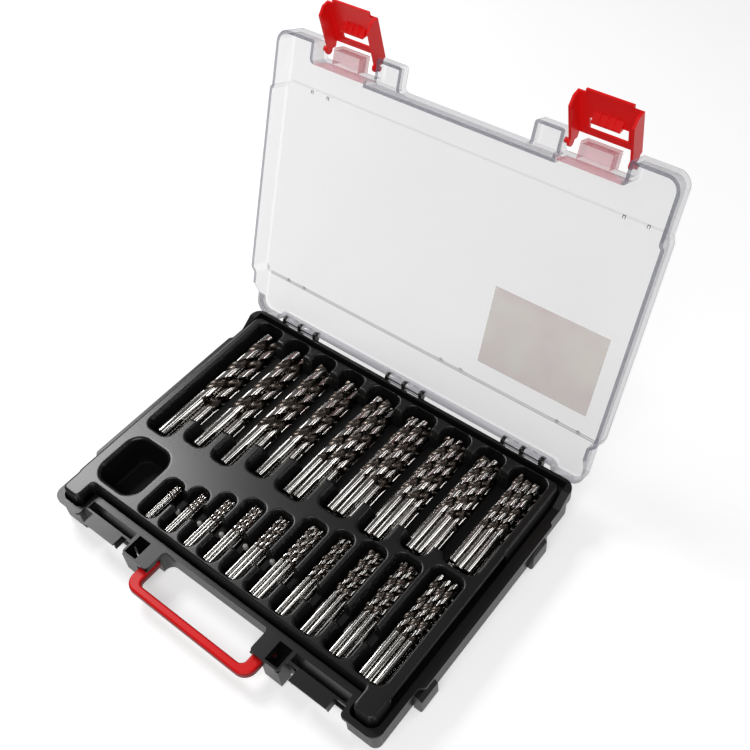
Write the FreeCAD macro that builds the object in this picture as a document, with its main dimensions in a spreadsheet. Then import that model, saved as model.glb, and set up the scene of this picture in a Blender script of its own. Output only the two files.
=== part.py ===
import FreeCAD, Part
import Sketcher
import math
import os

os.makedirs("parts", exist_ok=True)
doc = FreeCAD.newDocument("drill_bit_case")
sheet = doc.addObject("Spreadsheet::Sheet", "sizes")

# Driving sizes in millimetres, degrees where the name says so
SIZES = {
    # Base plan: the width follows from the row of pockets, see work_out
    "base_back": 120.5,
    "base_front": 119.0,
    "base_front_step": 3.8,
    "base_rear_step": 2.4,
    "band_rear_length": 34.5,
    "band_front_length": 49.0,
    "corner_radius": 9.0,
    "soft_radius": 1.6,
    "recess_depth": 17.5,
    "latch_seat_depth": 7.7,
    "latch_side": 34.1,
    "latch_gap_width": 52.0,
    "lug_width": 26.5,
    "lug_step": 2.0,
    # Base heights
    "base_rim": 26.0,
    "rear_rise": 8.0,
    "rear_ramp_end": 10.5,
    "rear_ramp_length": 12.0,
    "rear_wall": 3.0,
    "rim_band": 3.0,
    "rim_lead": 2.4,
    "foot_height": 3.0,
    "foot_inset": 3.2,
    "body_inset": 2.4,
    "base_floor": 2.4,
    # Base inside and latch seats
    "cavity_gap": 2.0,
    "channel_wall": 1.5,
    "channel_depth": 22.0,
    "catch_inset": 9.5,
    "catch_gusset_step": 1.5,
    "catch_cheek": 1.6,
    "catch_height": 8.0,
    "catch_edge": 1.3,
    "side_pad_reach": 1.6,
    "side_pad_length": 18.0,
    "side_pad_drop": 6.0,
    "side_pad_chamfer": 3.0,
    "side_pad_front_step": 1.5,
    "side_pad_rear_step": 19.5,
    "side_pad_lift": 0.8,
    # Carry handle
    "handle_under": 10.3,
    "handle_arm": 10.0,
    "handle_bar": 7.0,
    "handle_reach": 26.8,
    "handle_pivot_depth": 10.4,
    "handle_pivot_drop": 10.5,
    "handle_corner": 8.0,
    "handle_edge": 2.3,
    "handle_tail": 3.5,
    "stud_radius": 2.6,
    "lug_web": 2.0,
    "hood_thick": 4.6,
    "pocket_floor": 5.0,
    "pocket_side": 1.7,
    "pocket_front_wall": 1.8,
    # Lid
    "hinge_behind": 2.5,
    "hinge_rise": 1.15,
    "lid_depth": 20.0,
    "lid_overhang": 4.6,
    "lid_front_step": 2.0,
    "lid_rear_step": 4.0,
    "lid_front_overhang": 1.0,
    "lid_recess_step": 1.0,
    "lid_hood_step": 3.5,
    "lid_hood_inset": 0.2,
    "lid_hood_rise": 9.5,
    "lid_wall": 2.5,
    "lid_plate": 2.5,
    "lid_edge": 1.6,
    "lid_edge_drop": 1.6,
    "lid_draft": 0.2,
    "lid_back_step": 2.3,
    "lid_corner_step": 5.2,
    "lid_corner_width": 25.2,
    "lid_corner_radius": 11.0,
    "lid_seat": 0.2,
    "rear_rim_gap": 0.67,
    "lid_band_rise": 0.8,
    "lid_band_edge": 4.0,
    "lid_band_back_step": 2.0,
    "lid_band_front_step": 3.5,
    # Hinges
    "hinge_side": 51.3,
    "hinge_length": 37.4,
    "rod_radius": 1.7,
    "hinge_run": 0.06,
    "clip_radius": 3.6,
    "lug_radius": 3.3,
    "lug_thick": 3.0,
    "hinge_side_gap": 0.5,
    "hinge_room": 0.6,
    "clip_mouth": 2.7,
    "clip_window": 4.2,
    "clip_window_high": 1.8,
    "strap_high": 4.2,
    # Latches
    "latch_pivot_depth": 6.5,
    "latch_pivot_drop": 6.0,
    "latch_side_gap": 2.5,
    "latch_cheek": 2.0,
    "latch_plate": 1.8,
    "latch_reach": 9.5,
    "latch_foot": 4.4,
    "latch_tab": 3.2,
    "latch_tab_inset": 6.5,
    "latch_start": 1.5,
    "latch_room": 7.5,
    "latch_neck": 3.4,
    "latch_window_low": 6.5,
    "latch_window_high": 16.6,
    "latch_window_inset": 9.4,
    "latch_lip": 5.0,
    "latch_lip_inset": 3.6,
    "latch_lip_thick": 1.2,
    "latch_lip_drop": 0.6,
    "latch_rib": 0.8,
    "latch_rib_length": 2.4,
    "latch_stud": 2.0,
    "latch_stud_length": 3.0,
    "bracket_inset": 10.5,
    "bracket_reach": 5.0,
    "bracket_drop": 6.0,
    "bracket_wall": 1.6,
    "run_gap": 0.06,
    # Tray
    "tray_side_gap": 10.6,
    "tray_back_gap": 8.0,
    "tray_tip_gap": 6.5,
    "tray_tip_width": 18.8,
    "tray_front_gap": 5.8,
    "tray_rise": 10.0,
    "tray_wall": 1.5,
    "tray_corner": 6.0,
    "tray_edge": 1.4,
    "tray_draft": 1.0,
    "tray_lift": 0.3,
    "pocket_draft": 1.0,
    "pocket_corner": 4.0,
    "pocket_edge": 1.2,
    "pocket_edge_drop": 1.6,
    "back_row_side": 7.6,
    "back_row_inset": 2.0,
    "back_divider": 7.6,
    "back_spare": 8.5,
    "front_row_side": 9.2,
    "front_row_inset": 4.0,
    "front_divider": 4.2,
    "front_spare": 3.6,
    "back_pile_drop": 2.6,
    "front_pile_drop": 5.0,
    "back_gap_length": 83.0,
    "back_gap_stub": 12.5,
    "back_gap_depth": 15.0,
    "front_gap_start": 19.7,
    "front_gap_length": 13.0,
    "front_gap_depth": 10.0,
    "spare_side": 11.5,
    "spare_gap": 10.0,
    "spare_inset": 3.7,
    "spare_length": 46.5,
    "spare_depth": 28.0,
    "spare_corner": 9.0,
    # Drill bits and label
    "bit_gap": 0.4,
    "bit_shift": 1.4,
    "label_side": 21.2,
    "label_length": 96.0,
    "label_behind": 46.0,
    "label_width": 66.0,
    "label_thick": 0.2,
    # Common clearance and overrun for cuts
    "clearance": 0.3,
    "overrun": 5.0,
    # Angles in degrees
    "lid_open_angle": 110.5,
    "latch_open_angle": 60.0,
    "point_angle": 118.0,
}

# Drill bits by size: diameter, overall length, flute length and pocket width
BITS = {
    "10_0": (10.0, 133.0, 87.0, 26.5),
    "9_5": (9.5, 125.0, 81.0, 23.0),
    "9_0": (9.0, 125.0, 81.0, 22.0),
    "8_5": (8.5, 117.0, 75.0, 23.0),
    "8_0": (8.0, 117.0, 75.0, 29.0),
    "7_5": (7.5, 109.0, 69.0, 29.0),
    "7_0": (7.0, 109.0, 69.0, 25.5),
    "6_5": (6.5, 101.0, 63.0, 24.0),
    "6_0": (6.0, 93.0, 57.0, 30.0),
    "1_0": (1.0, 34.0, 12.0, 18.0),
    "1_5": (1.5, 40.0, 18.0, 17.0),
    "2_0": (2.0, 49.0, 24.0, 15.5),
    "2_5": (2.5, 57.0, 30.0, 18.5),
    "3_0": (3.0, 61.0, 33.0, 19.5),
    "3_5": (3.5, 70.0, 39.0, 21.0),
    "4_0": (4.0, 75.0, 43.0, 17.5),
    "4_5": (4.5, 80.0, 47.0, 21.5),
    "5_0": (5.0, 86.0, 52.0, 22.5),
    "5_5": (5.5, 93.0, 57.0, 27.0),
}
# How many bits a pocket holds, and how many of them lie side by side in the lowest row
BIT_COUNTS = {
    "10_0": (5, 2), "9_5": (5, 2), "9_0": (5, 2), "8_5": (5, 2), "8_0": (10, 3),
    "7_5": (10, 3), "7_0": (10, 3), "6_5": (10, 3), "6_0": (10, 4),
    "1_0": (10, 4), "1_5": (10, 4), "2_0": (10, 4), "2_5": (10, 4), "3_0": (10, 4),
    "3_5": (10, 4), "4_0": (10, 3), "4_5": (10, 3), "5_0": (10, 3), "5_5": (10, 4),
}
BACK_ROW = ("10_0", "9_5", "9_0", "8_5", "8_0", "7_5", "7_0", "6_5", "6_0")
FRONT_ROW = ("1_0", "1_5", "2_0", "2_5", "3_0", "3_5", "4_0", "4_5", "5_0", "5_5")
# Rows of a pile from the floor up, by how many lie side by side in the lowest row
PILE_COUNTS = {2: (2, 2, 1), 3: (3, 2, 3, 2), 4: (4, 3, 3)}
# How far a row's bits lie apart, as a share of a bit and its gap
PILE_PITCH_SHARES = {2: 1.16, 3: 1.08, 4: 1.04}
# How each bit of a pile is pushed along its pocket, as shares of bit_shift
SHIFT_SHARES = (0.0, 0.7, -0.5, 0.3, -0.9, 0.9, -0.2, 0.5, -0.7, 0.1)

# How much thinner a bit is along its flutes, as a share of its radius
RELIEF_SHARE = 0.01


def row_length(row, divider):
    """Length of a row of pockets with the dividers between them."""
    return sum(BITS[size][3] for size in row) + divider * (len(row) - 1)


def work_out(v):
    """Add the sizes that follow from the driving ones by a named step or clearance."""
    # Across the case, from the back row of pockets outwards
    v["back_row_left"] = row_length(BACK_ROW, v["back_divider"]) / 2
    v["tray_half"] = v["back_row_left"] + v["back_row_side"]
    v["tray_tip_in"] = v["tray_half"] - v["tray_tip_width"]
    front_length = row_length(FRONT_ROW, v["front_divider"])
    v["front_row_left"] = front_length - v["tray_half"] + v["front_row_side"]
    v["spare_right"] = v["front_row_left"] + v["spare_gap"]
    v["spare_left"] = v["tray_half"] - v["spare_side"]
    v["base_half_mid"] = v["tray_half"] + v["tray_side_gap"]
    v["base_half_front"] = v["base_half_mid"] - v["base_front_step"]
    v["base_half_rear"] = v["base_half_mid"] - v["base_rear_step"]
    v["latch_gap_out"] = v["base_half_mid"] - v["latch_side"]
    v["latch_gap_in"] = v["latch_gap_out"] - v["latch_gap_width"]
    v["catch_in"] = v["latch_gap_in"] + v["catch_inset"]
    v["catch_out"] = v["latch_gap_out"] - v["catch_inset"]
    v["lug_in"] = v["latch_gap_in"] - v["lug_width"]
    v["handle_half"] = v["lug_in"] + v["handle_under"]
    v["hinge_centre"] = v["base_half_mid"] - v["hinge_side"]
    v["lid_half_mid"] = v["base_half_mid"] + v["lid_overhang"]
    v["lid_half_front"] = v["lid_half_mid"] - v["lid_front_step"]
    v["lid_half_rear"] = v["lid_half_mid"] - v["lid_rear_step"]
    v["lid_corner_in"] = v["lid_half_rear"] - v["lid_corner_width"]
    v["lid_hood_in"] = v["lug_in"] + v["lid_hood_step"]
    v["label_left"] = v["lid_half_mid"] - v["label_side"] - v["label_length"]
    # From the back wall
    v["band_back"] = v["base_back"] - v["band_rear_length"]
    v["rear_ramp_back"] = v["base_back"] - v["rear_ramp_end"]
    v["rear_ramp_front"] = v["rear_ramp_back"] - v["rear_ramp_length"]
    v["side_pad_rear"] = v["band_back"] - v["side_pad_rear_step"]
    v["tray_back"] = v["base_back"] - v["tray_back_gap"]
    v["back_row_end"] = v["tray_back"] - v["back_row_inset"]
    v["back_gap_front"] = v["back_row_end"] - v["back_gap_stub"] - v["back_gap_length"]
    v["hinge_y"] = v["base_back"] + v["hinge_behind"]
    v["lid_back"] = v["base_back"] + v["lid_back_step"]
    v["lid_corner_back"] = v["lid_back"] + v["lid_corner_step"]
    v["lid_band_back"] = v["band_back"] + v["lid_band_back_step"]
    v["label_near"] = v["hinge_y"] - v["label_behind"] - v["label_width"]
    # From the front
    v["band_front"] = v["base_front"] - v["band_front_length"]
    v["recess_front"] = v["base_front"] - v["recess_depth"]
    v["latch_seat_front"] = v["base_front"] - v["latch_seat_depth"]
    v["lug_front"] = v["base_front"] + v["lug_step"]
    v["catch_gusset"] = v["lug_front"] - v["catch_gusset_step"]
    v["side_pad_front"] = v["band_front"] - v["side_pad_front_step"]
    v["handle_pivot_y"] = v["lug_front"] - v["handle_pivot_depth"]
    v["handle_front"] = v["handle_pivot_y"] + v["handle_reach"]
    v["lid_front"] = v["base_front"] + v["lid_front_overhang"]
    v["lid_recess_front"] = v["recess_front"] + v["lid_recess_step"]
    v["lid_hood_front"] = v["lug_front"] - v["lid_hood_inset"]
    v["lid_band_front"] = v["band_front"] + v["lid_band_front_step"]
    v["latch_pivot_y"] = v["base_front"] - v["latch_pivot_depth"]
    v["bracket_front"] = v["latch_pivot_y"] + v["bracket_reach"]
    v["tray_tip"] = v["base_front"] - v["tray_tip_gap"]
    v["tray_front"] = v["recess_front"] - v["tray_front_gap"]
    v["front_row_end"] = v["tray_front"] - v["front_row_inset"]
    v["front_gap_back"] = v["front_row_end"] - v["front_gap_start"] - v["front_gap_length"]
    v["spare_front"] = v["front_row_end"] - v["spare_inset"]
    v["spare_back"] = v["spare_front"] - v["spare_length"]
    # Heights, from the base's rim
    v["side_pad_height"] = v["base_rim"] - v["side_pad_drop"]
    v["catch_bottom"] = v["base_rim"] - v["catch_height"]
    v["handle_pivot_z"] = v["base_rim"] - v["handle_pivot_drop"]
    v["hinge_z"] = v["base_rim"] + v["rear_rise"] + v["hinge_rise"]
    v["lid_height"] = v["base_rim"] + v["lid_depth"]
    v["lid_hood_rim"] = v["base_rim"] + v["lid_hood_rise"]
    v["latch_pivot_z"] = v["lid_height"] - v["latch_pivot_drop"]
    v["latch_length"] = v["latch_pivot_z"] - v["latch_foot"]
    v["bracket_low"] = v["latch_pivot_z"] - v["bracket_drop"]
    v["tray_top"] = v["base_rim"] + v["tray_rise"]
    v["back_pile_top"] = v["tray_top"] - v["back_pile_drop"]
    v["front_pile_top"] = v["tray_top"] - v["front_pile_drop"]
    v["back_gap_floor"] = v["tray_top"] - v["back_gap_depth"]
    v["front_gap_floor"] = v["tray_top"] - v["front_gap_depth"]
    v["spare_floor"] = v["tray_top"] - v["spare_depth"]


def fill_sheet():
    """Write every size into the sheet under its own name."""
    rows = dict(SIZES)
    work_out(rows)
    for size, (diameter, length, flute, width) in BITS.items():
        rows["dia_" + size] = diameter
        rows["long_" + size] = length
        rows["flute_" + size] = flute
        rows["pocket_" + size] = width
    for row, (alias, value) in enumerate(rows.items(), 1):
        sheet.set("A%d" % row, alias)
        sheet.set("B%d" % row, "%.6f" % value)
        sheet.setAlias("B%d" % row, alias)
    doc.recompute()
    return {alias: float(getattr(sheet, alias)) for alias in rows}


S = fill_sheet()
V = FreeCAD.Vector


# Outlines and solids that several pieces share

def both_sides(half):
    """Close a half outline, given for +X from the back to the front, with its mirror."""
    return list(half) + [(-x, y, r) for x, y, r in reversed(half)]


def turn_sign(a, b, c):
    """Positive where the outline turns left at b."""
    return (b[0] - a[0]) * (c[1] - b[1]) - (b[1] - a[1]) * (c[0] - b[0])


def inset(points, amount):
    """Move every edge of an outline inwards; the outline runs clockwise seen from above."""
    out = []
    total = len(points)
    for i, (x, y, r) in enumerate(points):
        a, c = points[i - 1], points[(i + 1) % total]
        u = V(x - a[0], y - a[1], 0).normalize()
        w = V(c[0] - x, c[1] - y, 0).normalize()
        n, m = V(u.y, -u.x, 0), V(w.y, -w.x, 0)
        bend = n + m
        step = bend * (amount * 2 / (bend.x * bend.x + bend.y * bend.y))
        convex = turn_sign(a, (x, y), c) < 0
        radius = max(r - amount, r / 4) if convex else r + max(amount, -r / 2)
        out.append((x + step.x, y + step.y, radius))
    return out


def wire(points, z):
    """A closed wire at height z with a rounded corner at each point."""
    edges, last, first = [], None, None
    total = len(points)
    for i, (x, y, r) in enumerate(points):
        a, c = points[i - 1], points[(i + 1) % total]
        here = V(x, y, z)
        u = (V(a[0], a[1], z) - here)
        w = (V(c[0], c[1], z) - here)
        u.normalize()
        w.normalize()
        angle = u.getAngle(w)
        cut = r / math.tan(angle / 2)
        start, end = here + u * cut, here + w * cut
        middle = here + (u + w).normalize() * (r / math.sin(angle / 2) - r)
        if last is not None:
            edges.append(Part.LineSegment(last, start).toShape())
        else:
            first = start
        edges.append(Part.Arc(start, middle, end).toShape())
        last = end
    edges.append(Part.LineSegment(last, first).toShape())
    return Part.Wire(edges)


def prism(points, low, high):
    """A straight solid on an outline."""
    return Part.Face(wire(points, low)).extrude(V(0, 0, high - low))


def stacked(points, levels):
    """A solid through the outline inset by a given amount at each height."""
    return Part.makeLoft([wire(inset(points, amount), z) for z, amount in levels], True, True)


def box(x0, x1, y0, y1, z0, z1):
    return Part.makeBox(x1 - x0, y1 - y0, z1 - z0, V(x0, y0, z0))


def pair(make):
    """The solids of a piece that is there on the left and on the right."""
    return [make(1), make(-1)]


def span(side, near, far):
    """An X range on one side of the case."""
    return (near, far) if side > 0 else (-far, -near)


def rod_x(x0, x1, y, z, radius):
    return Part.makeCylinder(radius, x1 - x0, V(x0, y, z), V(1, 0, 0))


def profile_x(points, x0, x1):
    """A solid with the outline given in Y and Z, from x0 to x1."""
    corners = [V(x0, y, z) for y, z in points]
    return Part.Face(Part.makePolygon(corners + corners[:1])).extrude(V(x1 - x0, 0, 0))


def one(shape):
    """The single clean solid of a shape."""
    shape = shape.removeSplitter()
    solids = shape.Solids
    return solids[0] if len(solids) == 1 else Part.makeCompound(solids)


def hinge_places():
    """The X ranges of the three hinges."""
    half = S["hinge_length"] / 2
    return [(c - half, c + half) for c in (-S["hinge_centre"], 0.0, S["hinge_centre"])]


def base_half():
    k, q = S["corner_radius"], S["soft_radius"]
    step_rear = S["base_half_mid"] - S["base_half_rear"]
    step_front = S["base_half_mid"] - S["base_half_front"]
    return [
        (S["base_half_rear"], S["base_back"], k),
        (S["base_half_rear"], S["band_back"], q),
        (S["base_half_mid"], S["band_back"] - step_rear, q),
        (S["base_half_mid"], -S["band_front"], q),
        (S["base_half_front"], -S["band_front"] - step_front, q),
        (S["base_half_front"], -S["base_front"], k),
        (S["latch_gap_out"], -S["base_front"], q * 2),
        (S["latch_gap_out"], -S["latch_seat_front"], q / 2),
        (S["latch_gap_in"], -S["latch_seat_front"], q / 2),
        (S["latch_gap_in"], -S["lug_front"], q * 2),
        (S["lug_in"], -S["lug_front"], q * 2),
        (S["lug_in"], -S["recess_front"], q * 2),
    ]


def tray_half():
    k = S["tray_corner"]
    return [
        (S["tray_half"], S["tray_back"], k),
        (S["tray_half"], -S["tray_tip"], k),
        (S["tray_tip_in"], -S["tray_tip"], k / 2),
        (S["tray_tip_in"], -S["tray_front"], k / 2),
    ]


def lid_half():
    k, q = S["lid_corner_radius"], S["soft_radius"]
    mid, rear, front = S["lid_half_mid"], S["lid_half_rear"], S["lid_half_front"]
    jog = S["lid_corner_back"] - S["lid_back"]
    return [
        (S["lid_corner_in"] - jog / 2, S["lid_back"], q),
        (S["lid_corner_in"], S["lid_corner_back"], q),
        (rear, S["lid_corner_back"], k),
        (rear, S["lid_band_back"], q),
        (mid, S["lid_band_back"] - (mid - rear), q),
        (mid, -S["lid_band_front"], q),
        (front, -S["lid_band_front"] - (mid - front), q),
        (front, -S["lid_front"], k),
        (S["latch_gap_out"], -S["lid_front"], q),
        (S["latch_gap_out"], -lid_latch_wall(), q),
        (S["latch_gap_in"], -lid_latch_wall(), q),
        (S["latch_gap_in"], -S["lid_hood_front"], q),
        (S["lid_hood_in"], -S["lid_hood_front"], q * 2),
        (S["lid_hood_in"], -S["lid_recess_front"], q * 2),
    ]


def lid_latch_wall():
    """Where the lid's front wall stands behind a latch."""
    return S["latch_pivot_y"] - S["latch_room"]


# Bits and their pockets

def pile_rows(size):
    """Offsets of a pile's bits from the middle of the pocket floor."""
    count, across = BIT_COUNTS[size]
    reach = S["dia_" + size] + S["bit_gap"]
    pitch = reach * PILE_PITCH_SHARES[across]
    nest = math.sqrt(reach * reach - pitch * pitch / 4)
    places, height, before = [], S["bit_gap"] + S["dia_" + size] / 2, None
    for number in PILE_COUNTS[across]:
        if before is not None:
            height += nest if (number - before) % 2 else reach
        for j in range(number):
            places.append(((j - (number - 1) / 2) * pitch, height))
        before = number
    return places[:count], height + S["dia_" + size] / 2


def pockets():
    """Each pocket's X range, Y range and floor, by bit size."""
    out = {}
    x = -S["back_row_left"]
    for size in BACK_ROW:
        far = S["back_row_end"]
        near = far - S["long_" + size] - S["back_spare"]
        floor = S["back_pile_top"] - pile_rows(size)[1]
        out[size] = (x, x + S["pocket_" + size], near, far, floor)
        x += S["pocket_" + size] + S["back_divider"]
    x = -S["front_row_left"]
    for size in FRONT_ROW:
        near = -S["front_row_end"]
        far = near + S["long_" + size] + S["front_spare"]
        floor = S["front_pile_top"] - pile_rows(size)[1]
        out[size] = (x, x + S["pocket_" + size], near, far, floor)
        x += S["pocket_" + size] + S["front_divider"]
    return out


POCKETS = pockets()


def drill_bit(size):
    """One straight-shank bit along +Y: shank, relieved flute length and point."""
    radius = S["dia_" + size] / 2
    long, flute = S["long_" + size], S["flute_" + size]
    tip = radius / math.tan(math.radians(S["point_angle"] / 2))
    cut = radius * (1 - RELIEF_SHARE)
    edge = radius / 8
    outline = [V(0, 0, 0), V(radius - edge, 0, 0), V(radius, edge, 0), V(radius, long - flute, 0),
               V(cut, long - flute, 0), V(cut, long - tip * cut / radius, 0), V(0, long, 0), V(0, 0, 0)]
    return Part.Face(Part.makePolygon(outline)).revolve(V(0, 0, 0), V(0, 1, 0), 360)


def bit_group(size):
    x0, x1, near, far, floor = POCKETS[size]
    blank = drill_bit(size)
    room = (far - near - S["long_" + size]) / 2
    shift = min(S["bit_shift"], room - S["pocket_draft"] - S["bit_gap"])
    solids = []
    for i, (across, up) in enumerate(pile_rows(size)[0]):
        solid = blank.copy()
        along = near + room + shift * SHIFT_SHARES[i]
        solid.translate(V((x0 + x1) / 2 + across, along, floor + up))
        solids.append(solid)
    return Part.makeCompound(solids)


def pocket_outline(x0, x1, near, far, corner):
    return [(x0, far, corner), (x1, far, corner), (x1, near, corner), (x0, near, corner)]


def pocket_solid(outline, floor, wall):
    """The room of a pocket, or with a wall the skin around it."""
    top, drop = S["tray_top"], S["pocket_edge_drop"]
    levels = [(floor - wall, S["pocket_draft"] - wall), (top - drop, -wall), (top, -S["pocket_edge"] - wall)]
    if not wall:
        levels.append((top + S["overrun"], -S["pocket_edge"]))
    else:
        levels[-1] = (top - S["tray_wall"], -wall)
        levels[1] = (top - drop - S["tray_wall"], -wall)
    return stacked(outline, levels)


def bit_tray():
    outline = both_sides(tray_half())
    top, bottom = S["tray_top"], S["base_floor"] + S["tray_lift"]
    wall, draft, edge = S["tray_wall"], S["tray_draft"], S["tray_edge"]
    body = stacked(outline, [(bottom, draft), (top - edge, 0.0), (top - edge / 3, edge / 3), (top, edge)])
    hollow = stacked(outline, [(bottom - wall, draft + wall), (top - wall, wall)])
    plans = [(pocket_outline(x0, x1, near, far, S["pocket_corner"]), floor)
             for x0, x1, near, far, floor in POCKETS.values()]
    spare = pocket_outline(-S["spare_left"], -S["spare_right"], -S["spare_front"], -S["spare_back"],
                           S["spare_corner"])
    plans.append((spare, S["spare_floor"]))
    skins = [pocket_solid(plan, floor, wall) for plan, floor in plans]
    rooms = [pocket_solid(plan, floor, 0.0) for plan, floor in plans]
    for first, last, near, far, floor in finger_gaps():
        skins.append(box(first, last, near - wall, far + wall, floor - wall, top - wall))
        rooms.append(box(first, last, near, far, floor, top + S["overrun"]))
    shell = body.cut(hollow.cut(skins[0].multiFuse(skins[1:])))
    return one(shell.cut(rooms[0].multiFuse(rooms[1:])))


def finger_gaps():
    """The low saddle through the dividers of each row: X range, Y range and floor."""
    def middle(size):
        return (POCKETS[size][0] + POCKETS[size][1]) / 2
    back = (middle(BACK_ROW[0]), middle(BACK_ROW[-1]), S["back_gap_front"],
            S["back_row_end"] - S["back_gap_stub"], S["back_gap_floor"])
    front = (middle(FRONT_ROW[0]), middle(FRONT_ROW[-1]), -S["front_gap_back"] - S["front_gap_length"],
             -S["front_gap_back"], S["front_gap_floor"])
    return [back, front]


# Base

def base_shell():
    outline = both_sides(base_half())
    rim, high = S["base_rim"], S["base_rim"] + S["rear_rise"]
    band = rim - S["rim_band"]
    body = stacked(outline, [(0.0, S["foot_inset"]), (S["foot_height"], S["body_inset"]),
                             (band - S["rim_lead"], S["body_inset"]), (band, 0.0), (rim, 0.0)])
    over = S["overrun"]
    wide = S["base_half_mid"] + over
    behind = box(-wide, wide, S["rear_ramp_front"], S["base_back"] + over, rim, high)
    rear = prism(outline, rim, high).common(behind)
    ramp = profile_x([(S["rear_ramp_front"] - over, rim), (S["rear_ramp_front"], rim),
                      (S["rear_ramp_back"], high), (S["rear_ramp_back"], high + over),
                      (S["rear_ramp_front"] - over, high + over)], -wide, wide)
    body = body.fuse([rear.cut(ramp)] + side_pads() + lug_blocks())
    inside = prism(inset(both_sides(tray_half()), -S["cavity_gap"]), S["base_floor"], rim)
    upper = box(-S["tray_half"] - S["cavity_gap"], S["tray_half"] + S["cavity_gap"],
                -S["tray_front"], S["base_back"] - S["rear_wall"], rim, high + over)
    cuts = [inside, upper] + channels() + lug_cuts() + hinge_notches()
    body = body.cut(cuts[0].multiFuse(cuts[1:]))
    adds = catches() + hinge_lugs() + lug_webs()
    body = body.fuse(adds)
    return one(body.cut(stud_holes()))


def side_pads():
    """The stepped blocks on each side of the base."""
    out = []
    low, high = S["side_pad_lift"], S["side_pad_height"]
    half, slope = S["side_pad_length"] / 2, S["side_pad_chamfer"]
    back_in = S["base_half_front"] - S["cavity_gap"]
    reach = S["base_half_mid"] + S["side_pad_reach"]
    for y in (-S["side_pad_front"], S["side_pad_rear"]):
        outline = [(back_in, low), (reach - slope / 2, low), (reach, low + slope), (reach, high - slope),
                   (reach - slope, high), (back_in, high)]
        corners = [V(x, y - half, z) for x, z in outline]
        pad = Part.Face(Part.makePolygon(corners + corners[:1])).extrude(V(0, half * 2, 0))
        out.append(pad)
        out.append(pad.mirror(V(0, 0, 0), V(1, 0, 0)))
    return out


def channels():
    """The deep slot behind each catch."""
    wall = S["channel_wall"]
    def make(side):
        x0, x1 = span(side, S["latch_gap_in"] + wall, S["latch_gap_out"] - wall)
        back = S["recess_front"] + wall
        return box(x0, x1, -S["latch_seat_front"] + wall, -back, S["base_rim"] - S["channel_depth"],
                   S["base_rim"] + S["overrun"])
    return pair(make)


def catches():
    """The ledge that a latch's lip hooks under, with a gusset at each end."""
    rim, low = S["base_rim"], S["catch_bottom"]
    cheek, back = S["catch_cheek"], S["latch_seat_front"] - S["channel_wall"] / 2
    tip = S["latch_pivot_y"] + S["latch_reach"] - S["latch_lip"]
    under = S["latch_pivot_z"] - S["latch_window_high"] - S["latch_lip_drop"] + S["clearance"]
    outline = [(-back, under), (-tip, under), (-S["lug_front"], rim - S["catch_edge"]),
               (-S["lug_front"], rim), (-back, rim)]
    def make(side):
        x0, x1 = span(side, S["catch_in"], S["catch_out"])
        near = box(x0, x0 + cheek, -S["catch_gusset"], -back, low, rim)
        far = box(x1 - cheek, x1, -S["catch_gusset"], -back, low, rim)
        return profile_x(outline, x0, x1).fuse([near, far])
    return pair(make)


def lug_blocks():
    """The upright fronts of the two handle lugs."""
    def make(side):
        x0, x1 = span(side, S["lug_in"], S["latch_gap_in"])
        low, high = S["foot_height"], S["base_rim"] - S["rim_band"]
        return box(x0, x1, -S["lug_front"], -S["latch_seat_front"], low, high)
    return pair(make)


def lug_cuts():
    """Under each hood the room of a handle arm, and beside it the open pocket."""
    over, rim = S["overrun"], S["base_rim"]
    wall = S["handle_half"] + S["clearance"] * 2
    behind = S["handle_pivot_y"] - S["handle_tail"] - S["clearance"] * 2
    def arm(side):
        x0, x1 = span(side, S["lug_in"] - over, wall)
        return box(x0, x1, -S["lug_front"] - over, -behind, -over, rim - S["hood_thick"])
    def pocket(side):
        x0, x1 = span(side, wall + S["lug_web"], S["latch_gap_in"] - S["pocket_side"])
        return box(x0, x1, -S["lug_front"] + S["pocket_front_wall"],
                   -S["recess_front"] - S["channel_wall"], S["pocket_floor"], rim + over)
    return pair(arm) + pair(pocket)


def lug_webs():
    """A thicker boss around each handle stud."""
    wall = S["handle_half"] + S["clearance"] * 2
    def make(side):
        x0, x1 = span(side, wall, wall + S["lug_web"])
        return rod_x(x0, x1, -S["handle_pivot_y"], S["handle_pivot_z"], S["stud_radius"] * 2)
    return pair(make)


def stud_holes():
    wall = S["handle_half"]
    def make(side):
        x0, x1 = span(side, wall, wall + S["lug_web"] + S["overrun"])
        return rod_x(x0, x1, -S["handle_pivot_y"], S["handle_pivot_z"], S["stud_radius"] + S["run_gap"])
    return pair(make)


def hinge_notches():
    """Room in the back wall for the lid's clips."""
    out = []
    for x0, x1 in hinge_places():
        out.append(rod_x(x0, x1, S["hinge_y"], S["hinge_z"], S["clip_radius"] + S["hinge_room"]))
    return out


def lug_ranges(x0, x1):
    """The X ranges of a hinge's three lugs."""
    thick, middle = S["lug_thick"], (x0 + x1) / 2
    return [(x0, x0 + thick), (middle - thick / 2, middle + thick / 2), (x1 - thick, x1)]


def hinge_lugs():
    """Three lugs and the rod that they hold, for each hinge."""
    out = []
    y, z, r = S["hinge_y"], S["hinge_z"], S["lug_radius"]
    back = S["base_back"] - S["rear_wall"] / 2
    low = z - r - S["rear_rise"]
    for x0, x1 in hinge_places():
        out.append(rod_x(x0, x1, y, z, S["rod_radius"]))
        for a, b in lug_ranges(x0, x1):
            out.append(rod_x(a, b, y, z, r))
            out.append(profile_x([(back, low), (S["base_back"], low), (y + r, z), (y, z), (y, z + r / 2),
                                  (back, z - r / 2)], a, b))
    return out


# Lid

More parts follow.
